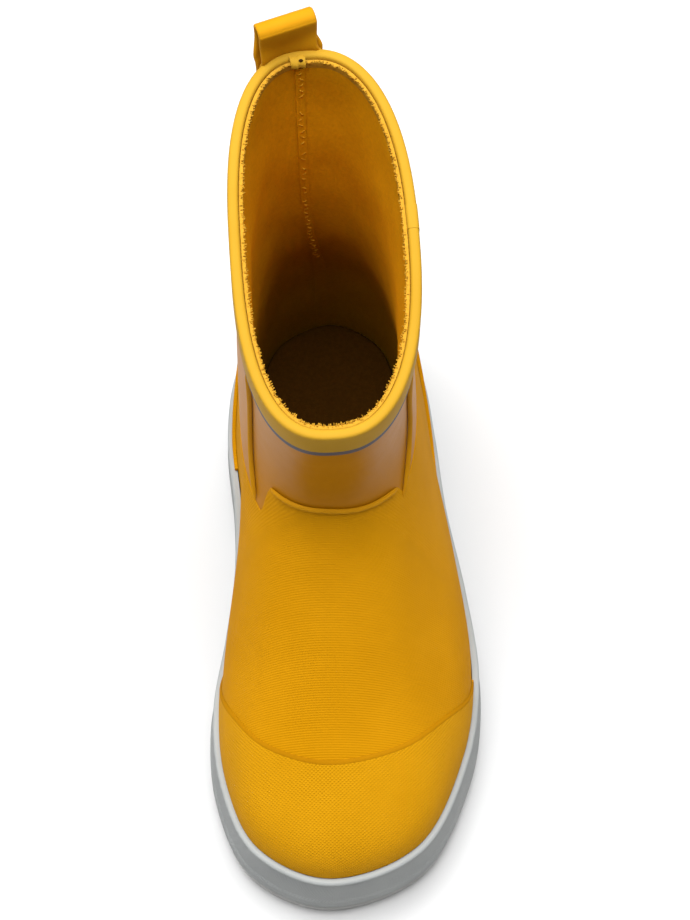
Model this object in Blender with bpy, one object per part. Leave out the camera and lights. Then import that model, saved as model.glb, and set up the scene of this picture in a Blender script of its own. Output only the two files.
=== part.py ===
"""A child's short deck boot for the left foot, built from its separate pieces.

Metres, +Z up, toe towards -Y, heel towards +Y, and the outer side of the foot towards +X. The origin is
under the middle of the boot, on the ground. Every layer of the boot follows one skin, the outer face of
the rubber foot and leg. A place on the skin is (s, h): s runs round the boot, 0 at the toe, 0.5 at the
heel and negative on the inner side, and h is the height up the boot. A piece lies at a distance d from
the skin, positive outwards.
"""

import math

import bmesh
import bpy
import numpy as np
from mathutils import Matrix, Vector

# Driving dimensions of the boot.
SOLE_HEIGHT = 0.0060
FOXING_TOP = 0.0235
BEAD_TOP = 0.0258
RIM_HEIGHT = 0.170
RIM_RISE = 0.008
SHAFT_TWIST = math.radians(3.1)
SHAFT_CENTRE_X = -0.0055
LEG_BEND = -0.0012
ORIGIN_SHIFT = 0.00030

# Layers, as distances from the skin. GAP keeps two faces that touch from sharing a surface.
GAP = 0.0003
RUBBER = 0.0016
OVERLAY = 0.0012
LINING_OUTER = -0.0030
LINING_INNER = -0.0040
STIFFENER_OUTER = -0.0021
STIFFENER_INNER = -0.0026
TAPE_THICKNESS = 0.0005

# Heights of the inner pieces, from the outsole upwards.
FILLER_TOP = 0.0090
BOARD_TOP = 0.0110
LINING_BOTTOM = 0.0113
FOOTBED_BOTTOM = 0.0114
FOOTBED_TOP = 0.0150
COVER_TOP = 0.0160

# Trim round the leg.
BAND_HEIGHT = 0.0095
STRIPE_HEIGHT = 0.0030
STRIPE_THICKNESS = 0.0010
INSTEP_HEIGHT = 0.1080
INSTEP_CENTRE = 0.010
INSTEP_REACH = 0.079
INSTEP_DROOP = 0.0028
INSTEP_TILT = 0.0034
SIDE_STARTS = 0.101
SIDE_DROP = 0.0083
HEEL_DROP = 0.0040
RIB_WIDTH = 0.0014
RIB_RISE = 0.0012

# Lines of the two upright ribs, as (height, s) stations of a smooth curve.
OUTER_RIB = ((0.0965, 0.104), (0.1010, 0.119), (0.1080, 0.133), (0.1250, 0.134), (0.1585, 0.130))
INNER_RIB = ((0.0975, -0.101), (0.1030, -0.110), (0.1130, -0.120), (0.1350, -0.131), (0.1585, -0.142))

# Toe cap and heel counter.
TOE_CAP_PEAK = 0.0532
TOE_CAP_REACH = 0.183
TOE_CAP_BOW = 2.4
COUNTER_START = 0.325
COUNTER_HEIGHT = 0.042

# Pull loop.
LOOP_PLACE = -0.4806
LOOP_WIDTH = 0.0158
LOOP_THICKNESS = 0.0014
LOOP_GAP = 0.0028
LOOP_HEIGHT = 0.0106
LOOP_ROOT_OUT = 0.0031
LOOP_ROOT_RISE = 0.0016
LOOP_ROOT_HALF = 0.0010
LOOP_TURN = math.radians(2.0)
ANCHOR_INNER = 0.0018
ANCHOR_OUTER = 0.0034
ANCHOR_DROP = 0.026

# Columns of faces round the boot, and the columns where the toe cap and the heel counter end.
COLUMNS = 48
CAP_END = int(TOE_CAP_REACH * COLUMNS)
COUNTER_END = math.ceil(COUNTER_START * COLUMNS)

# The seam tape reaches this share of a column to each side of the seam.
TAPE_SHARE = 0.5

# Heights of the rows of faces on the foot and on the leg's lining, and of the leg trim's top ends.
FOOT_ROWS = (0.0220, 0.0300, 0.0360, 0.0420, 0.0480, 0.0550, 0.0650, 0.0790)
LEG_ROWS = (0.0870, 0.0950, 0.1030, 0.1120, 0.1320, 0.1520)
TRIM_TOP = RIM_HEIGHT - BAND_HEIGHT - STRIPE_HEIGHT - 3.0 * GAP

# Outline of the sole, from the toe tip round the outer side to the heel and back along the inner side.
SOLE_OUTLINE = (
    (-0.0050, -0.0966), (0.0219, -0.0868), (0.0361, -0.0610), (0.0404, -0.0350), (0.0370, -0.0080),
    (0.0312, 0.0200), (0.0281, 0.0450), (0.0246, 0.0660), (0.0162, 0.0858), (-0.0035, 0.0950),
    (-0.0244, 0.0858), (-0.0331, 0.0660), (-0.0354, 0.0450), (-0.0333, 0.0220), (-0.0332, 0.0000),
    (-0.0362, -0.0220), (-0.0401, -0.0450), (-0.0377, -0.0680), (-0.0277, -0.0876),
)
HEEL_POINT = 9

# Profile of the skin, as (height, value) stations of a smooth curve.
FRONT_LINE = (
    (0.006, -0.0925), (0.022, -0.0928), (0.032, -0.0905), (0.044, -0.0790), (0.058, -0.0615),
    (0.074, -0.0435), (0.090, -0.0265), (0.102, -0.0160), (0.114, -0.0120), (0.132, -0.0125),
    (0.152, -0.0150), (0.172, -0.0160),
)
BACK_LINE = (
    (0.006, 0.0920), (0.030, 0.0925), (0.048, 0.0920), (0.066, 0.0893), (0.084, 0.0858),
    (0.102, 0.0845), (0.124, 0.0850), (0.148, 0.0866), (0.176, 0.0886),
)
TOE_WIDTH = (
    (0.006, 0.915), (0.024, 0.912), (0.036, 0.900), (0.048, 0.865), (0.062, 0.795), (0.080, 0.705),
    (0.098, 0.640), (0.114, 0.610),
)
HEEL_WIDTH = ((0.006, 0.915), (0.030, 0.918), (0.048, 0.875), (0.066, 0.825), (0.086, 0.785), (0.114, 0.770))
LEG_HALF_WIDTH = (
    (0.020, 0.0275), (0.060, 0.0266), (0.090, 0.0252), (0.112, 0.0240), (0.140, 0.0229), (0.176, 0.0226),
)
LEG_STARTS = 0.028
LEG_WHOLE = 0.112
LEG_SQUARENESS = 2.5
LEG_ASPECT = 0.47
LEG_GIRTH = 0.256


def smooth_through(stations):
    """Natural cubic curve through (x, value) stations, continued straight beyond both ends."""
    xs = np.array([station[0] for station in stations])
    ys = np.array([station[1] for station in stations])
    steps = np.diff(xs)
    slopes = np.diff(ys) / steps
    count = len(xs)
    system = np.eye(count)
    right = np.zeros(count)
    for i in range(1, count - 1):
        system[i, i - 1] = steps[i - 1]
        system[i, i] = 2.0 * (steps[i - 1] + steps[i])
        system[i, i + 1] = steps[i]
        right[i] = 6.0 * (slopes[i] - slopes[i - 1])
    bends = np.linalg.solve(system, right)

    def curve(x):
        i = int(np.clip(np.searchsorted(xs, x) - 1, 0, count - 2))
        low = xs[i + 1] - x
        high = x - xs[i]
        step = steps[i]
        return (
            (bends[i] * low ** 3 + bends[i + 1] * high ** 3) / (6.0 * step)
            + (ys[i] / step - bends[i] * step / 6.0) * low
            + (ys[i + 1] / step - bends[i + 1] * step / 6.0) * high
        )

    def straight_ended(x):
        inside = min(max(x, xs[0]), xs[-1])
        end_slope = slopes[0] if x < xs[0] else slopes[-1]
        return curve(inside) + (x - inside) * end_slope

    return straight_ended


def ease(x, start, end):
    """0 before start, 1 after end, and a smooth step between."""
    t = min(max((x - start) / (end - start), 0.0), 1.0)
    return t * t * (3.0 - 2.0 * t)


def by_length(points):
    """Turns a dense run of (x, y) points into a lookup by the fraction of its length."""
    points = np.array(points)
    lengths = np.hypot(*np.diff(points, axis=0).T)
    fractions = np.concatenate(([0.0], np.cumsum(lengths))) / lengths.sum()
    return lambda f: (np.interp(f, fractions, points[:, 0]), np.interp(f, fractions, points[:, 1]))


def sole_halves(per_span=24):
    """The outer and the inner half of the sole outline, each from the toe tip to the heel."""
    count = len(SOLE_OUTLINE)
    dense = []
    for i in range(count):
        p0, p1, p2, p3 = (Vector(SOLE_OUTLINE[(i + k - 1) % count]) for k in range(4))
        for j in range(per_span):
            t = j / per_span
            bend = (p0 - p1 * 3.0 + p2 * 3.0 - p3) * (-t ** 3)
            sway = (p0 * 2.0 - p1 * 5.0 + p2 * 4.0 - p3) * t ** 2
            dense.append((p1 * 2.0 + (p2 - p0) * t + sway + bend) * 0.5)
    heel = HEEL_POINT * per_span
    outer = dense[:heel + 1]
    inner = dense[heel:] + dense[:1]
    return by_length(outer), by_length(inner[::-1])


def leg_half(samples=240):
    """The outer half of the leg's oval, a superellipse with half-axes of 1, from front to back."""
    power = 2.0 / LEG_SQUARENESS
    points = []
    for i in range(samples + 1):
        angle = math.pi * i / samples
        x = abs(math.sin(angle)) ** power
        y = -math.copysign(abs(math.cos(angle)) ** power, math.cos(angle))
        points.append((x * LEG_ASPECT, y))
    return by_length(points)


OUTER_SOLE, INNER_SOLE = sole_halves()
LEG_OVAL = leg_half()
front_line = smooth_through(FRONT_LINE)
back_line = smooth_through(BACK_LINE)
toe_width = smooth_through(TOE_WIDTH)
heel_width = smooth_through(HEEL_WIDTH)
leg_half_width = smooth_through(LEG_HALF_WIDTH)


def wrapped(s):
    """The same place round the boot, with s between -0.5 and 0.5."""
    return (s + 0.5) % 1.0 - 0.5


def sole_point(s):
    """A point of the sole outline, before the shift to the origin."""
    s = wrapped(s)
    half = OUTER_SOLE if s >= 0.0 else INNER_SOLE
    return half(abs(s) * 2.0)


def skin(s, h):
    """The point of the skin at (s, h)."""
    s = wrapped(s)
    front = front_line(h)
    back = back_line(h)
    middle = (front + back) / 2.0
    half_length = (back - front) / 2.0
    toe_y = SOLE_OUTLINE[0][1]
    heel_y = SOLE_OUTLINE[HEEL_POINT][1]
    foot_x, foot_y = sole_point(s)
    along = (foot_y - toe_y) / (heel_y - toe_y)
    to_heel = ease(along, 0.35, 0.75)
    foot_x *= toe_width(h) * (1.0 - to_heel) + heel_width(h) * to_heel
    foot_y = front + along * (back - front)
    oval_x, oval_y = LEG_OVAL(abs(s) * 2.0)
    oval_x *= math.copysign(leg_half_width(h) / LEG_ASPECT, s)
    oval_y *= half_length
    twist = SHAFT_TWIST * ease(h, 0.04, 0.15)
    leg_bend = LEG_BEND * (oval_y / half_length) ** 2
    leg_x = SHAFT_CENTRE_X + leg_bend + oval_x * math.cos(twist) - oval_y * math.sin(twist)
    leg_y = middle + oval_x * math.sin(twist) + oval_y * math.cos(twist)
    share = ease(h, LEG_STARTS, LEG_WHOLE)
    x = foot_x * (1.0 - share) + leg_x * share
    y = foot_y * (1.0 - share) + leg_y * share
    rise = RIM_RISE * ease(h, 0.110, RIM_HEIGHT) * (y - middle) / (2.0 * half_length)
    return Vector((x, y + ORIGIN_SHIFT, h + rise))


def outward(s, h):
    """The skin's outward direction at (s, h)."""
    around = skin(s + 0.002, h) - skin(s - 0.002, h)
    upward = skin(s, h + 0.0005) - skin(s, h - 0.0005)
    return around.cross(upward).normalized()


def at(s, h, d):
    """The point at distance d from the skin."""
    return skin(s, h) + outward(s, h) * d


def round_columns():
    """Every column, once round the boot."""
    return [k / COLUMNS for k in range(COLUMNS)]


def part_columns(first, last):
    """The columns numbered first to last; column 0 is at the toe and a negative one on the inner side."""
    return [k / COLUMNS for k in range(first, last + 1)]


def spread(low, high, count):
    """count values evenly spread from low to high."""
    return [low + (high - low) * i / (count - 1) for i in range(count)]


def sheet(heights, inner, outer):
    """Section of a sheet on the skin: up its outer face and down its inner face."""
    return [(outer, h) for h in heights] + [(inner, h) for h in reversed(heights)]


def wall(low, high, inner, outer, rows):
    """Section of a sheet with evenly spread rows."""
    return sheet(spread(low, high, rows), inner, outer)


def finish_mesh(name, bm, colour, roughness, metallic=0.0, smooth=True, origin=None):
    """Makes the object, with its own material and its origin where it turns."""
    bmesh.ops.recalc_face_normals(bm, faces=bm.faces)
    if origin is not None:
        bmesh.ops.translate(bm, verts=bm.verts, vec=-origin)
    mesh = bpy.data.meshes.new(name)
    bm.to_mesh(mesh)
    bm.free()
    piece = bpy.data.objects.new(name, mesh)
    bpy.context.scene.collection.objects.link(piece)
    if origin is not None:
        piece.location = origin
    material = bpy.data.materials.new(name + "_material")
    material.use_nodes = True
    shader = material.node_tree.nodes["Principled BSDF"]
    shader.inputs["Base Color"].default_value = (*colour, 1.0)
    shader.inputs["Roughness"].default_value = roughness
    shader.inputs["Metallic"].default_value = metallic
    mesh.materials.append(material)
    if smooth:
        mesh.shade_smooth()
        mesh.set_sharp_from_angle(angle=math.radians(40.0))
    return piece


def strip(bm, first, second, closed):
    """Joins two rows of vertices with triangles, all cut along the same diagonal."""
    count = len(first) if closed else len(first) - 1
    for j in range(count):
        k = (j + 1) % len(first)
        bm.faces.new((first[j], second[j], second[k]))
        bm.faces.new((first[j], second[k], first[k]))


def swept(bm, sections, whole_ring):
    """Skins a row of closed sections; an open row gets a cap at each end."""
    rings = [[bm.verts.new(point) for point in section] for section in sections]
    for i in range(len(rings) - 1):
        strip(bm, rings[i], rings[i + 1], closed=True)
    if whole_ring:
        strip(bm, rings[-1], rings[0], closed=True)
        return
    for ring in (rings[0], rings[-1]):
        half = len(ring) // 2
        strip(bm, ring[:half], ring[:half - 1:-1], closed=False)


def layer(name, columns, section, colour, roughness, whole_ring=False):
    """A piece that follows the skin: section(s) lists its (d, h) corners at each column."""
    bm = bmesh.new()
    sections = [[at(s, h, d) for d, h in section(s)] for s in columns]
    swept(bm, sections, whole_ring)
    return finish_mesh(name, bm, colour, roughness)


def slab(name, height_on_skin, d, bottom, top, colour, roughness, origin=None):
    """A flat sheet inside the boot, cut to the skin's outline at one height."""
    bm = bmesh.new()
    outline = [at(k / COLUMNS, height_on_skin, d) for k in range(COLUMNS)]
    low = [bm.verts.new((p.x, p.y, bottom)) for p in outline]
    high = [bm.verts.new((p.x, p.y, top)) for p in outline]
    strip(bm, low, high, closed=True)
    half = COLUMNS // 2
    for ring in (low, high):
        across = [ring[0]] + [ring[-k] for k in range(1, half)] + [ring[half]]
        along = ring[:half + 1]
        for j in range(half):
            corners = [along[j], along[j + 1], across[j + 1], across[j]]
            distinct = list(dict.fromkeys(corners))
            bm.faces.new(distinct)
    return finish_mesh(name, bm, colour, roughness, smooth=False, origin=origin)


YELLOW = (0.72, 0.32, 0.012)
YELLOW_SHADE = (0.60, 0.25, 0.008)
TEXTILE = (0.50, 0.22, 0.02)
STIFFENER_TAN = (0.35, 0.30, 0.22)
SLATE = (0.10, 0.10, 0.12)
WHITE = (0.62, 0.62, 0.60)
GREY = (0.30, 0.31, 0.31)


def leg_line(s):
    """Height where the rubber foot ends and the leg starts: an arch over the instep, lower at the sides."""
    from_centre = wrapped(s) - INSTEP_CENTRE
    across = min(max(from_centre / INSTEP_REACH, -1.0), 1.0)
    beside = ease(abs(from_centre), INSTEP_REACH, SIDE_STARTS)
    behind = ease(abs(from_centre), SIDE_STARTS, 0.5)
    arch = INSTEP_HEIGHT - INSTEP_DROOP * across ** 2 - INSTEP_TILT * across * (1.0 - beside)
    return arch - SIDE_DROP * beside - HEEL_DROP * behind


def toe_cap_line(s):
    """Height of the toe cap's rear edge."""
    across = abs(wrapped(s)) / TOE_CAP_REACH
    return BEAD_TOP + GAP + (TOE_CAP_PEAK - BEAD_TOP) * (1.0 - across ** TOE_CAP_BOW)


def counter_line(s):
    """Height of the heel counter's top edge: steep at its front ends and level round the heel."""
    behind = ease(abs(wrapped(s)), COUNTER_START, COUNTER_START + 0.100)
    return BEAD_TOP + 0.0015 + COUNTER_HEIGHT * behind


def make_outsole():
    """The siped bottom, with a smooth waist under the arch."""
    bm = bmesh.new()
    rows = ((0.0, 0.992), (0.0012, 1.0), (SOLE_HEIGHT, 1.0))
    rings = []
    for z, scale in rows:
        ring = []
        for k in range(COLUMNS):
            x, y = sole_point(k / COLUMNS)
            ring.append(bm.verts.new((x * scale, y * scale + ORIGIN_SHIFT, z)))
        rings.append(ring)
    for lower, upper in zip(rings, rings[1:]):
        strip(bm, lower, upper, closed=True)
    bm.faces.new(rings[0])
    bm.faces.new(rings[-1])
    outsole = finish_mesh("outsole", bm, WHITE, 0.6, smooth=False)
    outsole.modifiers.new("sipes", "BOOLEAN").object = make_sipe_cutter()
    return outsole


def make_sipe_cutter():
    """Straight grooves across the forefoot and the heel, each short of the sole's edge."""
    depth = 0.0020
    width = 0.0020
    border = 0.0065
    outer = [sole_point(i / 400.0) for i in range(201)]
    inner = [sole_point(-i / 400.0) for i in range(201)]
    bm = bmesh.new()
    forefoot = spread(-0.080, -0.008, 10)
    heel = spread(0.042, 0.082, 6)
    for y in forefoot + heel:
        reach = [
            np.interp(edge, [p[1] for p in side], [p[0] for p in side])
            for side in (outer, inner)
            for edge in (y - width, y + width)
        ]
        right = min(reach[:2]) - border
        left = max(reach[2:]) + border
        place = Matrix.Translation(((left + right) / 2.0, y + ORIGIN_SHIFT, 0.0))
        size = Matrix.Diagonal((right - left, width, depth * 2.0, 1.0))
        bmesh.ops.create_cube(bm, size=1.0, matrix=place @ size)
    cutter = finish_mesh("sipe_cutter", bm, GREY, 0.6, smooth=False)
    cutter.hide_render = True
    cutter.display_type = "WIRE"
    return cutter


def make_foxing():
    """The sidewall strip, from the sole's edge up to the bead, and thicker at its foot."""
    bm = bmesh.new()
    sections = []
    for s in round_columns():
        edge_x, edge_y = sole_point(s)
        foot = Vector((edge_x, edge_y + ORIGIN_SHIFT, SOLE_HEIGHT + GAP))
        crown = at(s, FOXING_TOP, 0.0021)
        belly = foot.lerp(crown, 0.5) + outward(s, FOXING_TOP) * 0.0002
        inner_crown = at(s, FOXING_TOP, GAP)
        inner_foot = at(s, SOLE_HEIGHT + GAP, GAP)
        sections.append([foot, belly, crown, inner_crown, inner_foot])
    swept(bm, sections, whole_ring=True)
    return finish_mesh("foxing", bm, GREY, 0.7)


def make_sole_unit():
    """The parts under and round the foot, outside the upper."""
    make_outsole()
    make_foxing()
    low = FOXING_TOP + GAP
    middle = (low + BEAD_TOP) / 2.0
    layer(
        "foxing_bead", round_columns(),
        lambda s: [(GAP, low), (0.0019, low), (0.0025, middle), (0.0019, BEAD_TOP), (GAP, BEAD_TOP)],
        WHITE, 0.5, whole_ring=True,
    )
    slab("midsole_filler", SOLE_HEIGHT, -RUBBER - GAP, SOLE_HEIGHT + GAP, FILLER_TOP, GREY, 0.8)
    slab("insole_board", FILLER_TOP, -RUBBER - GAP, FILLER_TOP + GAP, BOARD_TOP, TEXTILE, 0.9)


def make_upper():
    """The rubber foot and leg, and the rubber pieces laid over them."""
    foot_bottom = SOLE_HEIGHT + GAP
    layer(
        "foot_shell", round_columns(),
        lambda s: sheet([foot_bottom, *FOOT_ROWS[:-1], *spread(FOOT_ROWS[-1], leg_line(s) - GAP / 2.0, 4)],
                        -RUBBER, 0.0),
        YELLOW, 0.6, whole_ring=True,
    )
    layer(
        "leg_shaft", round_columns(),
        lambda s: sheet([*spread(leg_line(s) + GAP / 2.0, leg_line(s) + 0.0080, 4),
                         *spread(leg_line(s) + 0.0140, RIM_HEIGHT - RUBBER, 6)], -RUBBER, 0.0),
        YELLOW_SHADE, 0.35, whole_ring=True,
    )
    layer(
        "toe_cap", part_columns(-CAP_END, CAP_END),
        lambda s: wall(BEAD_TOP + GAP, toe_cap_line(s), GAP, GAP + 0.0010, 7),
        YELLOW, 0.65,
    )
    layer(
        "heel_counter", part_columns(COUNTER_END, COLUMNS - COUNTER_END),
        lambda s: wall(BEAD_TOP + GAP, counter_line(s), GAP, GAP + 0.0010, 7),
        YELLOW, 0.6,
    )
    back = COLUMNS // 2
    layer(
        "back_stay", part_columns(back - 1, back + 1),
        lambda s: wall(counter_line(s) + 0.0010, TRIM_TOP, GAP, GAP + OVERLAY, 12),
        YELLOW, 0.5,
    )


def make_ribs():
    """The raised rib over the instep and the upright rib on each side of the leg."""
    half = RIB_WIDTH / 2.0
    crest = GAP + 0.0010
    layer(
        "instep_rib", spread(INSTEP_CENTRE - INSTEP_REACH, INSTEP_CENTRE + INSTEP_REACH, 25),
        lambda s: [(crest, leg_line(s) - half * 0.5), (crest, leg_line(s) + half * 0.5),
                   (GAP, leg_line(s) + half), (GAP, leg_line(s) - half)],
        YELLOW, 0.4,
    )
    reach = half / LEG_GIRTH
    for name, stations in (("side_rib_outer", OUTER_RIB), ("side_rib_inner", INNER_RIB)):
        line = smooth_through(stations)
        bm = bmesh.new()
        sections = []
        for h in spread(stations[0][0], TRIM_TOP - GAP, 13):
            corners = ((-1.0, GAP), (-0.5, GAP + RIB_RISE), (0.5, GAP + RIB_RISE), (1.0, GAP))
            sections.append([at(line(h) + reach * across, h, d) for across, d in corners])
        swept(bm, sections, whole_ring=False)
        finish_mesh(name, bm, YELLOW, 0.4)


def make_rim():
    """The band that binds the leg's top edge, and the thin stripe under it."""
    band_low = RIM_HEIGHT - BAND_HEIGHT
    outer = GAP + OVERLAY
    inner = -RUBBER - GAP
    leg_top = RIM_HEIGHT - RUBBER + GAP
    crown = RIM_HEIGHT + 0.0003
    layer(
        "top_band", round_columns(),
        lambda s: [(GAP, band_low), (outer, band_low), (outer, RIM_HEIGHT - 0.0004), (outer - 0.0005, crown),
                   (inner + 0.0004, crown), (inner, RIM_HEIGHT - 0.0004), (inner, leg_top), (GAP, leg_top)],
        YELLOW, 0.35, whole_ring=True,
    )
    stripe_top = band_low - GAP
    layer(
        "pinstripe", round_columns(),
        lambda s: wall(stripe_top - STRIPE_HEIGHT, stripe_top, GAP, GAP + STRIPE_THICKNESS, 2),
        SLATE, 0.5, whole_ring=True,
    )


def make_inside():
    """The textile lining and the stiffeners between it and the rubber."""
    layer(
        "lining", round_columns(),
        lambda s: sheet([LINING_BOTTOM, *FOOT_ROWS, *LEG_ROWS, RIM_HEIGHT - 0.0006],
                        LINING_INNER, LINING_OUTER),
        TEXTILE, 0.95, whole_ring=True,
    )
    layer(
        "toe_puff", part_columns(-CAP_END, CAP_END),
        lambda s: wall(LINING_BOTTOM, toe_cap_line(s) - 0.002, STIFFENER_INNER, STIFFENER_OUTER, 7),
        STIFFENER_TAN, 0.9,
    )
    layer(
        "heel_stiffener", part_columns(COUNTER_END, COLUMNS - COUNTER_END),
        lambda s: wall(LINING_BOTTOM, counter_line(s) - 0.001, STIFFENER_INNER, STIFFENER_OUTER, 7),
        STIFFENER_TAN, 0.9,
    )
    make_seam_tape()


def make_seam_tape():
    """The tape down the lining's back seam, flat on the lining's own faces."""
    heights = [*FOOT_ROWS[1:], *LEG_ROWS, RIM_HEIGHT - 0.0030]
    outer = LINING_INNER - GAP
    bm = bmesh.new()
    sections = []
    for side in (-1, 0, 1):
        section = []
        for d, h in sheet(heights, outer - TAPE_THICKNESS, outer):
            seam = at(0.5, h, d)
            next_column = at(0.5 + side / COLUMNS, h, d)
            section.append(seam.lerp(next_column, TAPE_SHARE))
        sections.append(section)
    swept(bm, sections, whole_ring=False)
    finish_mesh("lining_seam_tape", bm, TEXTILE, 0.9)


def make_footbed():
    """The loose footbed and its textile cover, which tip up together about the toe end."""
    toe = at(0.0, FOOTBED_BOTTOM, LINING_INNER - 0.0010)
    hinge = Vector((0.0, toe.y, FOOTBED_BOTTOM))
    pivot = bpy.data.objects.new("footbed_pivot", None)
    bpy.context.scene.collection.objects.link(pivot)
    pivot.location = hinge
    clear = LINING_INNER - 0.0010
    cover_bottom = FOOTBED_TOP + GAP
    foam = slab("footbed", FOOTBED_TOP, clear, FOOTBED_BOTTOM, FOOTBED_TOP, GREY, 0.9, origin=hinge)
    cover = slab("footbed_cover", FOOTBED_TOP, clear, cover_bottom, COVER_TOP, TEXTILE, 0.95, origin=hinge)
    for piece in (foam, cover):
        piece.parent = pivot
        piece.location = (0.0, 0.0, 0.0)


def teardrop(half, root_half, start, steps=10):
    """Half-round top and straight sides that draw in to the root, seen from the loop's side: (out, up)."""
    shoulder = LOOP_HEIGHT - LOOP_GAP / 2.0 - LOOP_THICKNESS
    draw_in = shoulder * 0.43
    crown = []
    for angle in spread(math.pi, 0.0, steps + 1):
        crown.append((half * math.cos(angle), shoulder + half * math.sin(angle)))
    return [(-root_half, start), (-half, draw_in), *crown, (half, draw_in), (root_half, start)]


def make_pull_loop():
    """The strap loop that stands behind the rim, and the strap end that holds it on the leg."""
    reach = LOOP_WIDTH / LEG_GIRTH / 2.0
    layer(
        "loop_anchor", spread(LOOP_PLACE - reach, LOOP_PLACE + reach, 5),
        lambda s: wall(RIM_HEIGHT - ANCHOR_DROP, RIM_HEIGHT + 0.0002, ANCHOR_INNER, ANCHOR_OUTER, 6),
        YELLOW, 0.4,
    )
    root = at(LOOP_PLACE, RIM_HEIGHT + LOOP_ROOT_RISE, LOOP_ROOT_OUT)
    across = skin(LOOP_PLACE + reach, RIM_HEIGHT) - skin(LOOP_PLACE - reach, RIM_HEIGHT)
    across.z = 0.0
    across.normalize()
    across.rotate(Matrix.Rotation(LOOP_TURN, 3, "Z"))
    away = across.cross(Vector((0.0, 0.0, 1.0)))
    outer = teardrop(LOOP_GAP / 2.0 + LOOP_THICKNESS, LOOP_ROOT_HALF, 0.0)
    inner = teardrop(LOOP_GAP / 2.0, 0.0002, LOOP_THICKNESS * 1.3)
    bm = bmesh.new()
    sides = []
    for side in (-0.5, 0.5):
        shift = across * (LOOP_WIDTH * side)
        sides.append([
            [bm.verts.new(root + shift + away * out + Vector((0.0, 0.0, up))) for out, up in outline]
            for outline in (outer, inner)
        ])
    left, right = sides
    strip(bm, left[0], right[0], closed=True)
    strip(bm, left[1], right[1], closed=True)
    for outer_row, inner_row in (left, right):
        strip(bm, outer_row, inner_row, closed=True)
    return finish_mesh("pull_loop", bm, YELLOW, 0.35, origin=root)


def main():
    for piece in list(bpy.data.objects):
        bpy.data.objects.remove(piece, do_unlink=True)
    make_sole_unit()
    make_upper()
    make_ribs()
    make_rim()
    make_inside()
    make_footbed()
    make_pull_loop()


main()
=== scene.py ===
"""Looks of a child's rubber deck boot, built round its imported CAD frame.

Metres, +Z up, toe towards -Y, heel towards +Y, outer side of the foot towards +X. As in the CAD, a place
on the boot is (s, h) on its skin: s runs round the boot, 0 at the toe, 0.5 at the heel and negative on the
inner side, and h is the height up the boot. d is the distance out from the skin.
"""

import math
import random

import bmesh
import bpy
import numpy as np
from mathutils import Matrix, Vector


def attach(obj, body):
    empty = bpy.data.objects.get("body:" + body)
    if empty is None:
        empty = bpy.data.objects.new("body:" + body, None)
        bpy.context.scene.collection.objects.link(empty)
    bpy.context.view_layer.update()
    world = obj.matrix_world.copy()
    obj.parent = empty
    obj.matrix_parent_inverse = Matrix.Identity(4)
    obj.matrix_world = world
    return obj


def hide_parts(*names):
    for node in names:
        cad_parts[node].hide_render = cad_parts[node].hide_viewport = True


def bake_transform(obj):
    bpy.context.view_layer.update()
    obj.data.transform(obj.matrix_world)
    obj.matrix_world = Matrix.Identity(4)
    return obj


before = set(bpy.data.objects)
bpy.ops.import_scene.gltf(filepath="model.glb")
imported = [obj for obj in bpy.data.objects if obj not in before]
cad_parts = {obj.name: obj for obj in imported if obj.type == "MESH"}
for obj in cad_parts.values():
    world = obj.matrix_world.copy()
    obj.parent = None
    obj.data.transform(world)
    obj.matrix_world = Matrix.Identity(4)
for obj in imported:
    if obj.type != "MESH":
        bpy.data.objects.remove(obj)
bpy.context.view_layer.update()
UP = Vector((0.0, 0.0, 1.0))

# ---------------- the boot's own dimensions, as in the CAD

SOLE_HEIGHT = 0.0060
FOXING_TOP = 0.0235
BEAD_TOP = 0.0258
RIM_HEIGHT = 0.170
RIM_RISE = 0.008
SHAFT_TWIST = math.radians(3.1)
SHAFT_CENTRE_X = -0.0055
LEG_BEND = -0.0012
ORIGIN_SHIFT = 0.00030
GAP = 0.0003
RUBBER = 0.0016
OVERLAY = 0.0012
LINING_OUTER = -0.0030
LINING_INNER = -0.0040
FOOTBED_BOTTOM = 0.0114
FOOTBED_TOP = 0.0150
COVER_TOP = 0.0160
BAND_HEIGHT = 0.0095
STRIPE_HEIGHT = 0.0030
STRIPE_THICKNESS = 0.0010
INSTEP_HEIGHT = 0.1080
INSTEP_CENTRE = 0.010
INSTEP_REACH = 0.079
INSTEP_DROOP = 0.0028
INSTEP_TILT = 0.0034
SIDE_STARTS = 0.101
SIDE_DROP = 0.0083
HEEL_DROP = 0.0040
OUTER_RIB = ((0.0965, 0.104), (0.1010, 0.119), (0.1080, 0.133), (0.1250, 0.134), (0.1585, 0.130))
INNER_RIB = ((0.0975, -0.101), (0.1030, -0.110), (0.1130, -0.120), (0.1350, -0.131), (0.1585, -0.142))
TOE_CAP_PEAK = 0.0532
TOE_CAP_REACH = 0.183
TOE_CAP_BOW = 2.4
COUNTER_START = 0.325
COUNTER_HEIGHT = 0.042
LOOP_PLACE = -0.4806
LOOP_WIDTH = 0.0158
LOOP_GAP = 0.0028
LOOP_HEIGHT = 0.0106
LOOP_ROOT_OUT = 0.0031
LOOP_TURN = math.radians(2.0)
LOOP_ROOT_RISE = 0.0016
ANCHOR_DROP = 0.026
TRIM_TOP = RIM_HEIGHT - BAND_HEIGHT - STRIPE_HEIGHT - 3.0 * GAP

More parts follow.
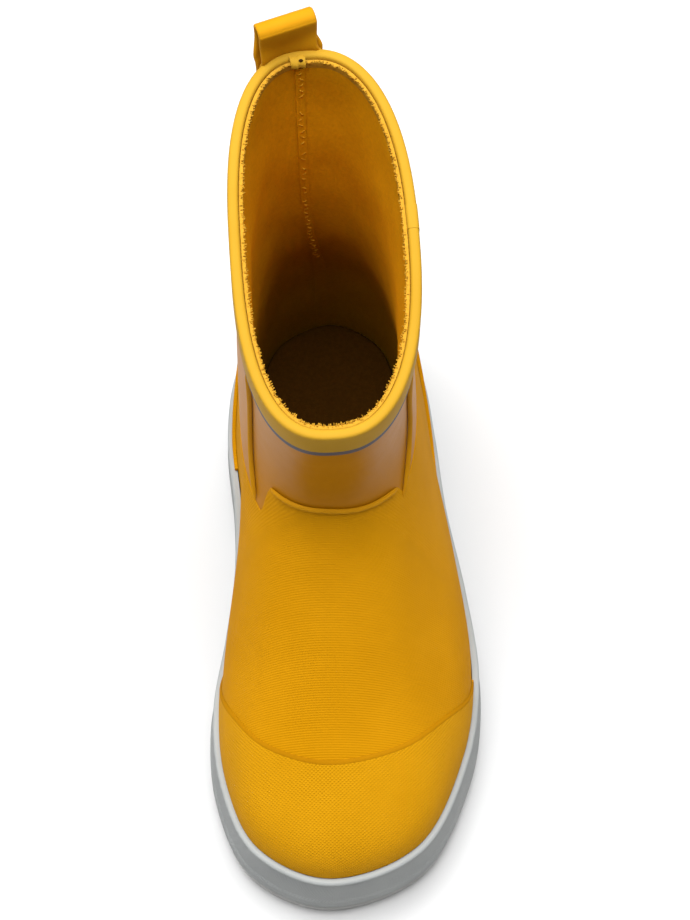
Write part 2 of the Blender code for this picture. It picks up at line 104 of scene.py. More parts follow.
SOLE_OUTLINE = (
    (-0.0050, -0.0966), (0.0219, -0.0868), (0.0361, -0.0610), (0.0404, -0.0350), (0.0370, -0.0080),
    (0.0312, 0.0200), (0.0281, 0.0450), (0.0246, 0.0660), (0.0162, 0.0858), (-0.0035, 0.0950),
    (-0.0244, 0.0858), (-0.0331, 0.0660), (-0.0354, 0.0450), (-0.0333, 0.0220), (-0.0332, 0.0000),
    (-0.0362, -0.0220), (-0.0401, -0.0450), (-0.0377, -0.0680), (-0.0277, -0.0876),
)
HEEL_POINT = 9
FRONT_LINE = (
    (0.006, -0.0925), (0.022, -0.0928), (0.032, -0.0905), (0.044, -0.0790), (0.058, -0.0615),
    (0.074, -0.0435), (0.090, -0.0265), (0.102, -0.0160), (0.114, -0.0120), (0.132, -0.0125),
    (0.152, -0.0150), (0.172, -0.0160),
)
BACK_LINE = (
    (0.006, 0.0920), (0.030, 0.0925), (0.048, 0.0920), (0.066, 0.0893), (0.084, 0.0858),
    (0.102, 0.0845), (0.124, 0.0850), (0.148, 0.0866), (0.176, 0.0886),
)
TOE_WIDTH = (
    (0.006, 0.915), (0.024, 0.912), (0.036, 0.900), (0.048, 0.865), (0.062, 0.795), (0.080, 0.705),
    (0.098, 0.640), (0.114, 0.610),
)
HEEL_WIDTH = ((0.006, 0.915), (0.030, 0.918), (0.048, 0.875), (0.066, 0.825), (0.086, 0.785), (0.114, 0.770))
LEG_HALF_WIDTH = (
    (0.020, 0.0275), (0.060, 0.0266), (0.090, 0.0252), (0.112, 0.0240), (0.140, 0.0229), (0.176, 0.0226),
)
LEG_STARTS = 0.028
LEG_WHOLE = 0.112
TWIST_HEIGHTS = (0.04, 0.15)
RISE_STARTS = 0.110
WAIST_SPAN = (0.35, 0.75)
LEG_SQUARENESS = 2.5
LEG_ASPECT = 0.47
LEG_GIRTH = 0.256

# ---------------- dimensions of the looks only

RIDGE_FOOT = 0.022
# height span and share of the painted shade that darkens the lining towards the bottom of the boot
PAINTED_SHADE_HEIGHTS = (0.020, 0.120)
PAINTED_SHADE_SHARE = 0.38
CROWN_OUT = 0.0021
BELLY = 0.0003
TOE_RIDGE = 0.00045
RIDGE_FADES = (0.12, 0.22)
RIDGE_PLACE = (0.30, 0.36)
FOOT_ROUNDING = 0.0006
BEAD_OUT = 0.0013
BEAD_DEPTH = 0.0011
LEG_INSET = 0.00015
SKIN_LIFT = 0.0001
OVERLAY_CLEAR = 0.0002
OVERLAY_ROUNDING = 0.0008
COUNTER_TOP = 0.0011
COUNTER_TRIM = 0.004
STAY_TOP = 0.0013
TOE_CAP_TOP = 0.0007
TOE_CAP_ROUNDING = 0.0004
SHEET_ROUNDING = 0.0002
CREASE_PROFILE = (
    (0.00074, -0.00030), (0.00068, -0.00005), (0.00045, 0.00018), (0.00010, 0.00045),
    (0.00005, 0.00040), (0.00005, 0.00020), (0.00005, 0.00000), (0.00005, -0.00030),
)
STAY_HALF_SPAN = 0.0208
INSTEP_RIB_SIZE = (0.0015, 0.0009)
SIDE_RIB_SIZE = (0.0016, 0.0011)
RIB_TAPER = 0.10
BAND_INNER = -0.0014
BAND_CROWN = 0.0003
BAND_ROUNDING = 0.0012
LINING_BOTTOM = 0.0113
MOUTH_HEIGHTS = (0.130, 0.160)
RIPPLE = 0.00012
FOOTBED_CLEARANCE = 0.0007
LAP_PLACE = 0.268
LAP_HALF_SPAN = 0.013
LAP_SPARE = 0.00012
EDGE_OUTER = -0.0015
EDGE_INNER = -0.0025
EDGE_DEPTH = 0.0030
EDGE_DROP = 0.0008
SEAM_PLACE = -0.4910
SEAM_HALF_SPAN = 0.006
SEAM_DEPTH = 0.070
SEAM_FOOT = 0.030
SEAM_TAPE = 0.00025
STITCH_DROP = 0.0050
STITCH_OUT = 0.00045
TAB_SPAN = (-0.4980, -0.4790)
HOLE_PLACE = -0.4925
STRAP_THICKNESS = 0.0012
LOOP_FLARE = 0.0012

# ---------------- fineness of the visual meshes

COLUMNS = 288
CURVE_STEPS = 6
SHARP_ANGLE = math.radians(50.0)

# ---------------- the skin


def smooth_through(stations):
    """Natural cubic curve through (x, value) stations, held straight beyond both ends."""
    xs = np.array([station[0] for station in stations])
    ys = np.array([station[1] for station in stations])
    steps = np.diff(xs)
    slopes = np.diff(ys) / steps
    count = len(xs)
    system = np.eye(count)
    right = np.zeros(count)
    for i in range(1, count - 1):
        system[i, i - 1] = steps[i - 1]
        system[i, i] = 2.0 * (steps[i - 1] + steps[i])
        system[i, i + 1] = steps[i]
        right[i] = 6.0 * (slopes[i] - slopes[i - 1])
    bends = np.linalg.solve(system, right)

    def curve(x):
        x = np.asarray(x, float)
        inside = np.clip(x, xs[0], xs[-1])
        i = np.clip(np.searchsorted(xs, inside) - 1, 0, count - 2)
        low = xs[i + 1] - inside
        high = inside - xs[i]
        step = steps[i]
        value = (
            (bends[i] * low ** 3 + bends[i + 1] * high ** 3) / (6.0 * step)
            + (ys[i] / step - bends[i] * step / 6.0) * low
            + (ys[i + 1] / step - bends[i + 1] * step / 6.0) * high
        )
        return value + (x - inside) * np.where(x < xs[0], slopes[0], slopes[-1])

    return curve


def ease(x, start, end):
    """0 before start, 1 after end, and a smooth step between."""
    t = np.clip((np.asarray(x, float) - start) / (end - start), 0.0, 1.0)
    return t * t * (3.0 - 2.0 * t)


def by_length(points):
    """A dense run of (x, y) points as a lookup by the fraction of its length."""
    points = np.array(points)
    lengths = np.hypot(*np.diff(points, axis=0).T)
    fractions = np.concatenate(([0.0], np.cumsum(lengths))) / lengths.sum()
    return lambda f: (np.interp(f, fractions, points[:, 0]), np.interp(f, fractions, points[:, 1]))


def sole_halves(per_span=24):
    """The outer and the inner half of the sole outline, each from the toe tip to the heel."""
    count = len(SOLE_OUTLINE)
    dense = []
    for i in range(count):
        p0, p1, p2, p3 = (Vector(SOLE_OUTLINE[(i + k - 1) % count]) for k in range(4))
        for j in range(per_span):
            t = j / per_span
            bend = (p0 - p1 * 3.0 + p2 * 3.0 - p3) * (-t ** 3)
            sway = (p0 * 2.0 - p1 * 5.0 + p2 * 4.0 - p3) * t ** 2
            dense.append((p1 * 2.0 + (p2 - p0) * t + sway + bend) * 0.5)
    heel = HEEL_POINT * per_span
    outer = dense[:heel + 1]
    inner = dense[heel:] + dense[:1]
    return by_length(outer), by_length(inner[::-1])


def leg_half(samples=480):
    """The outer half of the leg's oval, a superellipse with half-axes of 1, from front to back."""
    power = 2.0 / LEG_SQUARENESS
    angles = np.linspace(0.0, math.pi, samples + 1)
    x = np.abs(np.sin(angles)) ** power * LEG_ASPECT
    y = -np.sign(np.cos(angles)) * np.abs(np.cos(angles)) ** power
    return by_length(np.stack([x, y], axis=1))


OUTER_SOLE, INNER_SOLE = sole_halves()
LEG_OVAL = leg_half()
front_line = smooth_through(FRONT_LINE)
back_line = smooth_through(BACK_LINE)
toe_width = smooth_through(TOE_WIDTH)
heel_width = smooth_through(HEEL_WIDTH)
leg_half_width = smooth_through(LEG_HALF_WIDTH)


def wrapped(s):
    """The same place round the boot, with s between -0.5 and 0.5."""
    return (np.asarray(s, float) + 0.5) % 1.0 - 0.5


def sole_point(s):
    """x and y of the sole's outline, before the shift to the origin."""
    s = wrapped(s)
    outer_x, outer_y = OUTER_SOLE(np.abs(s) * 2.0)
    inner_x, inner_y = INNER_SOLE(np.abs(s) * 2.0)
    return np.where(s >= 0.0, outer_x, inner_x), np.where(s >= 0.0, outer_y, inner_y)


def skin(s, h):
    """The points of the skin at (s, h), as an array whose last axis is x, y, z."""
    s, h = np.broadcast_arrays(wrapped(s), np.asarray(h, float))
    front = front_line(h)
    back = back_line(h)
    middle = (front + back) / 2.0
    half_length = (back - front) / 2.0
    toe_y = SOLE_OUTLINE[0][1]
    heel_y = SOLE_OUTLINE[HEEL_POINT][1]
    foot_x, foot_y = sole_point(s)
    along = (foot_y - toe_y) / (heel_y - toe_y)
    to_heel = ease(along, *WAIST_SPAN)
    foot_x = foot_x * (toe_width(h) * (1.0 - to_heel) + heel_width(h) * to_heel)
    foot_y = front + along * (back - front)
    oval_x, oval_y = LEG_OVAL(np.abs(s) * 2.0)
    oval_x = np.copysign(oval_x * leg_half_width(h) / LEG_ASPECT, s)
    oval_y = oval_y * half_length
    twist = SHAFT_TWIST * ease(h, *TWIST_HEIGHTS)
    leg_bend = LEG_BEND * (oval_y / half_length) ** 2
    leg_x = SHAFT_CENTRE_X + leg_bend + oval_x * np.cos(twist) - oval_y * np.sin(twist)
    leg_y = middle + oval_x * np.sin(twist) + oval_y * np.cos(twist)
    share = ease(h, LEG_STARTS, LEG_WHOLE)
    x = foot_x * (1.0 - share) + leg_x * share
    y = foot_y * (1.0 - share) + leg_y * share
    rise = RIM_RISE * ease(h, RISE_STARTS, RIM_HEIGHT) * (y - middle) / (2.0 * half_length)
    return np.stack([x, y + ORIGIN_SHIFT, h + rise], axis=-1)


def unit(vectors):
    """The vectors at length 1."""
    return vectors / np.linalg.norm(vectors, axis=-1, keepdims=True)


def outward(s, h):
    """The skin's outward directions at (s, h)."""
    around = skin(s + 0.002, h) - skin(s - 0.002, h)
    upward = skin(s, h + 0.0005) - skin(s, h - 0.0005)
    return unit(np.cross(around, upward))


def at(s, h, d):
    """The points at distance d from the skin."""
    s, h, d = np.broadcast_arrays(np.asarray(s, float), np.asarray(h, float), np.asarray(d, float))
    return skin(s, h) + outward(s, h) * d[..., None]


def leg_line(s):
    """Height where the rubber foot ends and the leg starts: an arch over the instep, lower at the sides."""
    from_centre = wrapped(s) - INSTEP_CENTRE
    across = np.clip(from_centre / INSTEP_REACH, -1.0, 1.0)
    beside = ease(np.abs(from_centre), INSTEP_REACH, SIDE_STARTS)
    behind = ease(np.abs(from_centre), SIDE_STARTS, 0.5)
    arch = INSTEP_HEIGHT - INSTEP_DROOP * across ** 2 - INSTEP_TILT * across * (1.0 - beside)
    return arch - SIDE_DROP * beside - HEEL_DROP * behind


def toe_cap_line(s):
    """Height of the toe cap's rear edge."""
    across = np.abs(wrapped(s)) / TOE_CAP_REACH
    return BEAD_TOP + GAP + (TOE_CAP_PEAK - BEAD_TOP) * np.maximum(1.0 - across ** TOE_CAP_BOW, 0.0)


def counter_line(s):
    """Height of the heel counter's top edge: steep at its front ends and level round the heel."""
    behind = ease(np.abs(wrapped(s)), COUNTER_START, COUNTER_START + 0.100)
    return BEAD_TOP + 0.0015 + COUNTER_HEIGHT * behind


# ---------------- mesh making


def cloth_place(points):
    """Where each point lies on a cloth laid over the foot: across it, and along it from the toe (metres)."""
    reach = 0.110
    ys = np.linspace(-reach, reach, 441)
    heights = np.linspace(RIDGE_FOOT, INSTEP_HEIGHT, 200)
    ridge = np.interp(ys, front_line(heights) + ORIGIN_SHIFT, heights)
    run = np.concatenate(([0.0], np.cumsum(np.hypot(np.diff(ys), np.diff(ridge)))))
    x, y, z = points[..., 0], points[..., 1], points[..., 2]
    top = np.interp(y, ys, ridge)
    across = np.copysign(np.hypot(x, np.maximum(top - z, 0.0)), x)
    return across, np.interp(y, ys, run)


def ring_lengths(points):
    """Where each point lies on its layer: round it from its first column, and up its section (metres).

    The grids have one more column and row than the points, for the faces that close the layer.
    """
    closed = np.concatenate([points, points[:1]], axis=0)
    closed = np.concatenate([closed, closed[:, :1]], axis=1)
    round_run = np.cumsum(np.linalg.norm(np.diff(closed, axis=0), axis=-1), axis=0)
    up_run = np.cumsum(np.linalg.norm(np.diff(closed, axis=1), axis=-1), axis=1)
    round_run = np.concatenate([np.zeros((1, closed.shape[1])), round_run], axis=0)
    up_run = np.concatenate([np.zeros((closed.shape[0], 1)), up_run], axis=1)
    return round_run, up_run


def make_object(name, vertices, faces, material, uvs):
    """A smooth-shaded mesh object; uvs lists one (u, v) for every corner of every face, in order."""
    mesh = bpy.data.meshes.new(name)
    mesh.from_pydata([tuple(v) for v in vertices], [], faces)
    layer = mesh.uv_layers.new(name="cloth")
    layer.data.foreach_set("uv", np.asarray(uvs, float).ravel())
    rework(mesh, turn_outwards)
    return finish_object(name, mesh, material)


def rework(mesh, *changes):
    """Runs changes on the mesh as a bmesh, one after the other."""
    bm = bmesh.new()
    bm.from_mesh(mesh)
    for change in changes:
        change(bm)
    bm.to_mesh(mesh)
    bm.free()


def finish_object(name, mesh, material):
    """A smooth-shaded object for a finished mesh."""
    mesh.materials.append(material)
    mesh.shade_smooth()
    mesh.set_sharp_from_angle(angle=SHARP_ANGLE)
    return add_object(name, mesh)


def add_object(name, data):
    """A new object in the scene."""
    added = bpy.data.objects.new(name, data)
    bpy.context.scene.collection.objects.link(added)
    return added


def mesh_of(name, bm):
    """A mesh of a finished bmesh, with its faces turned outwards."""
    turn_outwards(bm)
    mesh = bpy.data.meshes.new(name)
    bm.to_mesh(mesh)
    bm.free()
    return mesh


def turn_outwards(bm):
    """Turns the faces of a bmesh outwards."""
    bmesh.ops.recalc_face_normals(bm, faces=bm.faces)


def lattice(name, points, material, ring, loop, over_foot=False):
    """A surface over a grid of points: ring closes it round its columns, loop closes each section.

    The material's pattern follows the surface itself or, over_foot, a cloth laid over the whole foot.
    """
    columns, rows = points.shape[:2]
    index = np.arange(columns * rows).reshape(columns, rows)
    if over_foot:
        u, v = cloth_place(points)
        u, v = (np.pad(grid, ((0, 1), (0, 1)), mode="wrap") for grid in (u, v))
    else:
        u, v = ring_lengths(points)
    faces = []
    uvs = []
    for i in range(columns if ring else columns - 1):
        here = index[i]
        there = index[(i + 1) % columns]
        for j in range(rows if loop else rows - 1):
            k = (j + 1) % rows
            faces.append((int(here[j]), int(there[j]), int(there[k]), int(here[k])))
            uvs.extend((u[a, b], v[a, b]) for a, b in ((i, j), (i + 1, j), (i + 1, j + 1), (i, j + 1)))
    if not ring and loop:
        for end in (0, columns - 1):
            row = [int(vertex) for vertex in index[end]]
            for j in range(rows // 2 - 1):
                faces.append((row[j], row[j + 1], row[rows - 2 - j], row[rows - 1 - j]))
                uvs.extend([(0.0, 0.0)] * 4)
    return make_object(name, points.reshape(-1, 3), faces, material, uvs)


def round_the_boot(count=COLUMNS):
    """s for every column, once round."""
    return np.arange(count) / count


def sheet_section(low, high, inner, outer, rows, edge):
    """Sections of a sheet with rounded outer edges. low and high are arrays, one value for each column.

    Each section goes up the outer face, over the top edge, down the inner face, and the first half of it
    has as many points as the second.
    """
    low = np.asarray(low, float)[:, None]
    high = np.asarray(high, float)[:, None]
    edge = np.minimum(edge, (high - low) * 0.45)
    turn = np.linspace(0.0, math.pi / 2.0, CURVE_STEPS)[None, :]
    part = np.linspace(0.0, 1.0, rows)[None, 1:-1]
    foot_h = low + edge - edge * np.cos(turn)
    foot_d = outer - edge + edge * np.sin(turn)
    face_h = low + edge + (high - low - 2.0 * edge) * part
    face_d = np.broadcast_to(outer, face_h.shape)
    head_h = high - edge + edge * np.sin(turn)
    head_d = outer - edge + edge * np.cos(turn)
    front_h = np.concatenate([foot_h, face_h, head_h], axis=1)
    front_d = np.concatenate([foot_d, face_d, head_d], axis=1)
    count = front_h.shape[1]
    back_h = high + (low - high) * np.linspace(0.0, 1.0, count)[None, :]
    back_d = np.full(back_h.shape, inner)
    return np.concatenate([front_d, back_d], axis=1), np.concatenate([front_h, back_h], axis=1)


def sheet(name, node, s, low, high, inner, outer, rows, edge, material, ring=False, over_foot=False):
    """A sheet of rubber that follows the skin and stands for a CAD node."""
    d, h = sheet_section(low(s), high(s), inner, outer, rows, edge)
    settle(lattice(name, at(s[:, None], h, d), material, ring, True, over_foot), node)


def swept(s, profile):
    """Points of an outline of (d, h) carried along the skin through the columns s."""
    profile = np.asarray(profile, float)
    return at(s[:, None], profile[None, :, 1], profile[None, :, 0])


def settle(piece, *nodes, body="boot"):
    """The piece rides on its body and stands for its CAD nodes, which it hides."""
    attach(piece, body)
    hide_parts(*nodes)


def add_detail(piece):
    """The piece rides on the boot."""
    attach(piece, "boot")


def add_small_detail(name, bm, material):
    """A detail made of a finished bmesh."""
    add_detail(finish_object(name, mesh_of(name, bm), material))


def constant(value):
    """A height that is the same in every column."""
    return lambda s: np.full(np.shape(s), value)


# ---------------- materials


class Shader:
    """A material's node tree, with short ways to add what the boot's materials need."""

    def __init__(self, name):
        self.material = bpy.data.materials.new(name)
        self.material.use_nodes = True
        self.tree = self.material.node_tree
        self.principled = self.tree.nodes["Principled BSDF"]
        self.coordinates = self.tree.nodes.new("ShaderNodeTexCoord")

    def feed(self, node, inputs):
        """Links each input whose value is another node's output, and sets the others."""
        for name, value in inputs.items():
            socket = node.inputs[name.replace("_", " ")]
            if isinstance(value, bpy.types.NodeSocket):
                self.tree.links.new(value, socket)
            else:
                socket.default_value = value

    def surface(self, **inputs):
        """Feeds inputs of the material's surface."""
        self.feed(self.principled, inputs)

    def add(self, kind, operation=None, **inputs):
        """A new node of a kind, with its inputs fed."""
        node = self.tree.nodes.new("ShaderNode" + kind)
        if operation:
            node.operation = operation
        self.feed(node, inputs)
        return node

    def noise(self, scale, detail=3.0, roughness=0.55):
        """Noise over the object's own space; scale is in cycles for each metre."""
        place = self.coordinates.outputs["Object"]
        node = self.add("TexNoise", Vector=place, Scale=scale, Detail=detail, Roughness=roughness)
        return node.outputs["Fac"]

    def bands(self, period, turn):
        """Even ridges on the cloth, period metres apart, turned by an angle."""
        spin = self.add("Mapping", Vector=self.coordinates.outputs["UV"], Rotation=(0.0, 0.0, turn))
        scale = math.pi / (10.0 * period)
        return self.add("TexWave", Vector=spin.outputs["Vector"], Scale=scale, Distortion=0.0).outputs["Fac"]

    def product(self, first, second):
        """One output times another."""
        node = self.add("Math", "MULTIPLY")
        self.tree.links.new(first, node.inputs[0])
        self.tree.links.new(second, node.inputs[1])
        return node.outputs["Value"]

    def ramp(self, factor, stops):
        """A colour or grey scale: stops is a list of (place, colour)."""
        node = self.add("ValToRGB", Fac=factor)
        for element, (place, colour) in zip(node.color_ramp.elements, stops):
            element.position = place
            element.color = (*colour, 1.0)
        return node.outputs["Color"]

    def spread(self, factor, low, high):
        """factor's 0 to 1 as low to high."""
        return self.add("MapRange", Value=factor, To_Min=low, To_Max=high).outputs["Result"]

    def darken_below(self, colour, bottom, top, share):
        """The colour as it is above the height top, and only a share of it below bottom."""
        place = self.add("SeparateXYZ", Vector=self.coordinates.outputs["Object"])
        fade = self.add("MapRange", Value=place.outputs["Z"], From_Min=bottom, From_Max=top, To_Min=share)
        scale = self.add("VectorMath", "SCALE", Vector=colour, Scale=fade.outputs["Result"])
        return scale.outputs["Vector"]

    def bump(self, *heights):
        """Adds up (height, strength, distance) layers into the surface's normal."""
        below = {}
        for height, strength, distance in heights:
            node = self.add("Bump", Height=height, Strength=strength, Distance=distance, **below)
            below = {"Normal": node.outputs["Normal"]}
        self.surface(**below)


def rubber(name, dark, light, low, high, gloss=0.15, grain=None, peel=0.25, ribbed=False):
    """Coloured rubber: cloudy colour, uneven roughness from low to high, and a fine skin.

    grain is (period, turn, strength, distance) of a printed pattern of crossed ridges, in which the ones
    that run across the foot stand out if it is ribbed.
    """
    shader = Shader(name)
    shader.surface(
        Base_Color=shader.ramp(shader.noise(38.0, detail=4.0), [(0.30, dark), (0.70, light)]),
        Roughness=shader.spread(shader.noise(210.0, detail=5.0), low, high),
        Specular_IOR_Level=gloss,
    )
    layers = [
        (shader.noise(120.0, detail=2.0), peel, 0.0004),
        (shader.noise(1900.0, detail=3.0), 0.20, 0.0001),
    ]
    if grain:
        period, turn, strength, distance = grain
        across = shader.bands(period, turn + math.pi / 2.0)
        along = shader.bands(period, turn)
        if ribbed:
            along = shader.spread(along, 0.7, 1.0)
        layers.append((shader.product(along, across), strength, distance))
    shader.bump(*layers)
    return shader.material


def cloth(name, dark, light, period, painted_shade_low=False):
    """Cotton: a fine rib under a soft nap, with a sheen of its own colour. Its last flag darkens the colour
    towards the bottom of the boot, as painted shade.
    """
    shader = Shader(name)
    fibres = shader.noise(900.0, detail=6.0, roughness=0.7)
    colour = shader.ramp(fibres, [(0.25, dark), (0.75, light)])
    if painted_shade_low:
        # painted shade: the colour is darker towards the bottom of the boot
        colour = shader.darken_below(colour, *PAINTED_SHADE_HEIGHTS, PAINTED_SHADE_SHARE)
    roughness = shader.spread(shader.noise(300.0), 0.88, 1.0)
    shader.surface(Base_Color=colour, Roughness=roughness, Specular_IOR_Level=0.05)
    shader.surface(Sheen_Weight=0.10, Sheen_Roughness=0.5, Sheen_Tint=(*light, 1.0))
    shader.bump(
        (shader.noise(160.0, detail=4.0), 0.35, 0.0006),
        (shader.bands(period, 0.0), 0.15, 0.0001),
        (fibres, 0.5, 0.0002),
    )
    return shader.material


FOOT_YELLOW = rubber("foot_rubber", (0.520, 0.226, 0.0012), (0.580, 0.257, 0.0024), 0.70, 0.84, 0.03,
                     grain=(0.00075, 0.0, 0.48, 0.00014), ribbed=True)
TOE_YELLOW = rubber("toe_rubber", (0.540, 0.248, 0.0018), (0.600, 0.280, 0.0034), 0.68, 0.82, 0.04,
                    grain=(0.00080, math.pi / 4.0, 0.85, 0.00015))
LEG_YELLOW = rubber("leg_rubber", (0.400, 0.152, 0.0008), (0.450, 0.174, 0.0014), 0.36, 0.44, 0.05, peel=0.18)
TRIM_YELLOW = rubber("trim_rubber", (0.425, 0.233, 0.0150), (0.470, 0.262, 0.0200), 0.55, 0.65, 0.05)
DEEP_YELLOW = rubber("deep_yellow_rubber", (0.480, 0.214, 0.0040), (0.530, 0.240, 0.0060), 0.60, 0.72, 0.04)
# darker yellow for the toe cap's crease: painted shade
CREASE_SHADE_OCHRE = rubber("crease_painted_shade_rubber", (0.330, 0.140, 0.0010), (0.380, 0.165, 0.0018), 0.75, 0.85, 0.02)
STRIPE_SLATE = rubber("stripe_rubber", (0.070, 0.064, 0.078), (0.100, 0.094, 0.112), 0.50, 0.65, 0.12)
# the sidewall's white rubber, made greyer than the bead's as painted shade on its face
FOXING_SHADED_WHITE = rubber("foxing_shaded_white_rubber", (0.300, 0.312, 0.312), (0.365, 0.376, 0.370), 0.70, 0.84, 0.08,
                     grain=(0.0007, math.pi / 4.0, 0.60, 0.00014))
BEAD_WHITE = rubber("bead_rubber", (0.340, 0.355, 0.350), (0.400, 0.415, 0.410), 0.55, 0.70, 0.12, peel=0.5)
SOLE_WHITE = rubber("sole_rubber", (0.400, 0.400, 0.390), (0.470, 0.470, 0.455), 0.60, 0.75, 0.20)
# the lining and its seam tape, darkened low in the boot as painted shade
LINING_OCHRE = cloth("lining_cloth", (0.590, 0.262, 0.0020), (0.750, 0.350, 0.0040), 0.0011, painted_shade_low=True)
EDGE_OCHRE = cloth("lining_edge_cloth", (0.400, 0.205, 0.0140), (0.540, 0.290, 0.0300), 0.0006)
THREAD_OCHRE = cloth("seam_thread", (0.560, 0.270, 0.0100), (0.660, 0.330, 0.0200), 0.0004)
# near-black footbed cloth: painted shade deep in the boot
FOOTBED_SHADE_CLOTH = cloth("footbed_painted_shade_cloth", (0.050, 0.019, 0.0015), (0.080, 0.032, 0.0025), 0.0013)
FOAM_GREY = cloth("foam", (0.026, 0.014, 0.0040), (0.040, 0.022, 0.0070), 0.0007)
BOARD_TAN = cloth("board", (0.320, 0.220, 0.120), (0.420, 0.300, 0.180), 0.0009)
HOLE_SHADE_BROWN = cloth("hole_shade", (0.030, 0.012, 0.0020), (0.045, 0.018, 0.0030), 0.0005)


# ---------------- the sole unit


def make_outsole():
    """The white outsole: a rounded bottom edge and straight sipes, open underneath."""
    s = round_the_boot()
    x, y = sole_point(s)
    rows = ((0.0000, 0.985), (0.0004, 0.9925), (0.0012, 0.9985), (0.0024, 1.0), (SOLE_HEIGHT, 1.0))
    points = np.stack([
        np.stack([x * scale, y * scale + ORIGIN_SHIFT, np.full(s.shape, z)], axis=-1) for z, scale in rows
    ], axis=1)
    outsole = lattice("outsole_body", points, SOLE_WHITE, True, False)
    rework(outsole.data, close_holes, turn_outwards)
    cutter = make_sipe_cutter()
    cut = outsole.modifiers.new("sipes", "BOOLEAN")
    cut.object = cutter
    apply_modifiers(outsole)
    bpy.data.objects.remove(cutter, do_unlink=True)
    settle(outsole, "outsole")


def close_holes(bm):
    """Fills the open ends of a bmesh."""
    bmesh.ops.holes_fill(bm, edges=[edge for edge in bm.edges if edge.is_boundary])


def apply_modifiers(piece):
    """Turns the piece's modifiers into plain mesh."""
    graph = bpy.context.evaluated_depsgraph_get()
    mesh = bpy.data.meshes.new_from_object(piece.evaluated_get(graph))
    piece.modifiers.clear()
    piece.data = mesh


def make_sipe_cutter():
    """Boxes that cut the sipes, each short of the sole's edge."""
    depth = 0.0020
    width = 0.0016
    border = 0.0065
    run = np.linspace(0.0, 0.5, 401)
    outer_x, outer_y = sole_point(run)
    inner_x, inner_y = sole_point(-run[1:])
    bm = bmesh.new()
    forefoot = np.linspace(-0.080, -0.008, 10)
    heel = np.linspace(0.042, 0.082, 6)
    for y in np.concatenate([forefoot, heel]):
        right = np.interp(y, outer_y, outer_x) - border
        left = np.interp(y, inner_y, inner_x) + border
        corners = [
            bm.verts.new((x, y + ORIGIN_SHIFT + dy, z))
            for z in (-depth, depth) for x in (left, right) for dy in (-width / 2.0, width / 2.0)
        ]
        for quad in ((0, 1, 3, 2), (4, 6, 7, 5), (0, 2, 6, 4), (1, 5, 7, 3), (0, 4, 5, 1), (2, 3, 7, 6)):
            bm.faces.new([corners[k] for k in quad])
    return add_object("sipe_cutter", mesh_of("sipe_cutter", bm))


def make_foxing():
    """The sidewall, in white rubber darkened to grey as painted shade on its face: wider at its foot, with a
    low ridge line round the toe.
    """
    s = round_the_boot()
    x, y = sole_point(s)
    foot = np.stack([x, y + ORIGIN_SHIFT, np.full(s.shape, SOLE_HEIGHT + GAP)], axis=-1)
    crown = at(s, FOXING_TOP, CROWN_OUT)
    push = outward(s, FOXING_TOP)
    part = np.linspace(0.0, 1.0, 33)
    at_toe = 1.0 - ease(np.abs(wrapped(s)), *RIDGE_FADES)
    outer = []
    for t in part:
        belly = BELLY * math.sin(math.pi * t)
        step = TOE_RIDGE * at_toe * (1.0 - ease(t, *RIDGE_PLACE))
        edge = -FOOT_ROUNDING * (1.0 - ease(t, 0.0, 0.05))
        outer.append(foot + (crown - foot) * t + push * (belly + step + edge)[..., None])
    inner = [at(s, FOXING_TOP - (FOXING_TOP - SOLE_HEIGHT - GAP) * t, GAP) for t in part]
    points = np.stack(outer + inner, axis=1)
    settle(lattice("foxing_strip", points, FOXING_SHADED_WHITE, True, True), "foxing")


def make_bead():
    """The white bead along the sidewall's top, round in section."""
    s = round_the_boot()
    low = FOXING_TOP + 0.0001
    turn = np.linspace(-math.pi / 2.0, math.pi / 2.0, 13)
    middle = (low + BEAD_TOP) / 2.0
    half = (BEAD_TOP - low) / 2.0
    h = np.concatenate([middle + half * np.sin(turn), [BEAD_TOP, low]])
    d = np.concatenate([BEAD_OUT + BEAD_DEPTH * np.cos(turn), [GAP, GAP]])
    points = at(s[:, None], h[None, :], d[None, :])
    settle(lattice("foxing_bead_round", points, BEAD_WHITE, True, True), "foxing_bead")


# ---------------- the upper


def make_upper():
    """The rubber foot and leg, and the rubber sheets laid over them."""
    whole = round_the_boot()
    tuck = 0.0012
    cap_end = TOE_CAP_REACH * 0.985
    toe = np.linspace(-cap_end, cap_end, 121)
    heel = np.linspace(COUNTER_START + COUNTER_TRIM, 1.0 - COUNTER_START - COUNTER_TRIM, 121)
    stay = np.linspace(0.5 - STAY_HALF_SPAN, 0.5 + STAY_HALF_SPAN, 17)
    sheet("foot_rubber_shell", "foot_shell", whole, constant(SOLE_HEIGHT + GAP), leg_line,
          -RUBBER, 0.0, 90, SHEET_ROUNDING, FOOT_YELLOW, ring=True, over_foot=True)
    sheet("leg_rubber_shaft", "leg_shaft", whole, lambda s: leg_line(s) - tuck, constant(RIM_HEIGHT - RUBBER),
          -RUBBER, -LEG_INSET, 60, SHEET_ROUNDING, LEG_YELLOW, ring=True)
    sheet("toe_cap_overlay", "toe_cap", toe, constant(BEAD_TOP + OVERLAY_CLEAR), cap_edge,
          SKIN_LIFT, TOE_CAP_TOP, 44, TOE_CAP_ROUNDING, TOE_YELLOW, over_foot=True)
    sheet("heel_counter_overlay", "heel_counter", heel, constant(BEAD_TOP + OVERLAY_CLEAR), counter_line,
          SKIN_LIFT, COUNTER_TOP, 44, OVERLAY_ROUNDING, FOOT_YELLOW, over_foot=True)
    sheet("back_stay_strip", "back_stay", stay, lambda s: counter_line(s) + 0.0010, constant(TRIM_TOP),
          SKIN_LIFT, STAY_TOP, 60, OVERLAY_ROUNDING, LEG_YELLOW)


def cap_edge(s):
    """Height of the visible toe cap's rear edge."""
    return toe_cap_line(s) + OVERLAY_CLEAR


